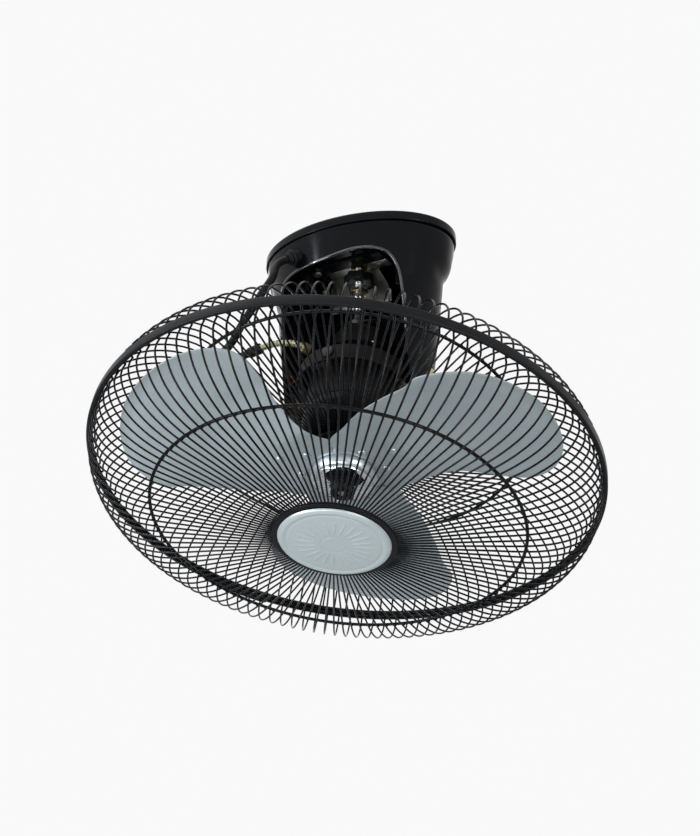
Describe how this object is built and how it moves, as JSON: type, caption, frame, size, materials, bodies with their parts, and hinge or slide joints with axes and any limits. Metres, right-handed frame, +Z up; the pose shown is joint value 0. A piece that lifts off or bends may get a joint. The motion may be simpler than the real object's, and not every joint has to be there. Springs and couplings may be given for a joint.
{
  "type": "orbital ceiling fan",
  "caption": "Caged orbital ceiling fan: an oval two-legged ceiling canopy, a gimbal ring, and a motor head with twisted blades in a round wire guard that tips about two crossed axes.",
  "frame": {"origin": "centre of the ceiling plate's upper face, which meets the ceiling", "axes": "+Z up into the ceiling, the canopy's two legs stand on the X axis, the open arches face -Y and +Y, and the head is stored tipped towards -Y"},
  "size_m": [0.463, 0.445, 0.3554],
  "materials": {
    "black_gloss": "gloss black enamel",
    "canopy_black": "gloss black moulding",
    "cover_black": "gloss black moulding",
    "black_satin": "satin charcoal enamel",
    "wire_black": "gloss black powder coat on steel wire",
    "black_plastic": "moulded black plastic",
    "black_rubber": "moulded black rubber",
    "cord_rubber": "black rubber sheath",
    "zinc": "zinc plated sheet steel",
    "yellow_zinc": "yellow passivated zinc",
    "steel": "machined steel",
    "brass": "turned brass",
    "bronze": "sintered bronze",
    "copper": "copper",
    "grey_casting": "grey painted die casting",
    "blade_alu": "satin aluminium",
    "badge_grey": "satin silver",
    "chrome": "polished chrome",
    "nylon": "natural nylon"
  },
  "bodies": {
    "canopy": {"ceiling_plate": "black_gloss", "canopy_housing": "canopy_black", "roof_screw_right": "steel", "roof_screw_left": "steel", "hanger_bracket": "zinc", "centre_stud": "steel", "stud_nut_upper": "brass", "stud_knob": "black_plastic", "stud_nut_lower": "brass", "terminal_block": "nylon", "capacitor": "black_plastic", "cord_grommet": "black_rubber", "leg_screw_right": "brass", "leg_screw_left": "brass", "leg_bush_right": "bronze", "leg_bush_left": "bronze", "earth_screw": "copper", "supply_cord_upper": "cord_rubber"},
    "gimbal": {"gimbal_ring": "grey_casting", "supply_cord_lower": "cord_rubber"},
    "head": {"ring_pin_front": "steel", "ring_pin_rear": "steel", "motor_housing": "grey_casting", "motor_front_cover": "cover_black", "motor_rear_cover": "cover_black", "stator_core": "steel", "stator_winding": "copper", "bearing_front": "steel", "bearing_rear": "steel", "gearbox_housing": "grey_casting", "gearbox_cover": "black_satin", "inlet_tube": "yellow_zinc", "inlet_nut": "brass", "cord_sleeve": "black_rubber", "rear_guard": "wire_black", "front_guard": "wire_black", "guard_nut": "black_satin", "guard_band": "black_satin", "band_clamp": "black_satin", "band_clamp_screw": "steel", "badge": "badge_grey", "badge_retainer": "black_plastic"},
    "rotor": {"motor_shaft": "steel", "rotor_core": "steel", "blade_spider": "blade_alu", "hub_cap": "chrome", "hub_knob": "black_plastic", "blade_1": "blade_alu", "blade_2": "blade_alu", "blade_3": "blade_alu", "rivet_1a": "chrome", "rivet_1b": "chrome", "rivet_2a": "chrome", "rivet_2b": "chrome", "rivet_3a": "chrome", "rivet_3b": "chrome"},
    "cross_gear": {"cross_gear": "bronze"},
    "lay_gear": {"lay_gear": "bronze"},
    "orbit_crank": {"orbit_crank": "steel"}
  },
  "joints": [
    {"name": "ring_tip", "type": "hinge", "parent": "canopy", "child": "gimbal", "pos_m": [0, 0, -0.152], "axis": [1, 0, 0], "range_deg": [-0.3, 34.7], "deforming": ["supply_cord_upper"]},
    {"name": "head_tip", "type": "hinge", "parent": "gimbal", "child": "head", "pos_m": [0, 0, -0.152], "axis": [0, 0.9553, -0.2957], "range_deg": [-14.9, 20.1], "deforming": ["supply_cord_lower"]},
    {"name": "rotor_spin", "type": "hinge", "parent": "head", "child": "rotor", "pos_m": [0, 0, -0.152], "axis": [-0.0454, 0.2954, 0.9543], "continuous": true},
    {"name": "cross_gear_spin", "type": "hinge", "parent": "head", "child": "cross_gear", "pos_m": [-0.00204, 0.02361, -0.11225], "axis": [0.999, 0.0134, 0.0433], "continuous": true},
    {"name": "lay_gear_spin", "type": "hinge", "parent": "head", "child": "lay_gear", "pos_m": [0.01394, 0.01351, -0.10836], "axis": [-0.0454, 0.2954, 0.9543], "continuous": true},
    {"name": "orbit_crank_turn", "type": "hinge", "parent": "head", "child": "orbit_crank", "pos_m": [0, 0, -0.152], "axis": [-0.0454, 0.2954, 0.9543], "continuous": true}
  ],
  "couplings": [
    {"joint": "cross_gear_spin", "follows": "rotor_spin", "ratio": 0.071429},
    {"joint": "lay_gear_spin", "follows": "rotor_spin", "ratio": 0.005102},
    {"joint": "orbit_crank_turn", "follows": "rotor_spin", "ratio": -0.0023191}
  ]
}
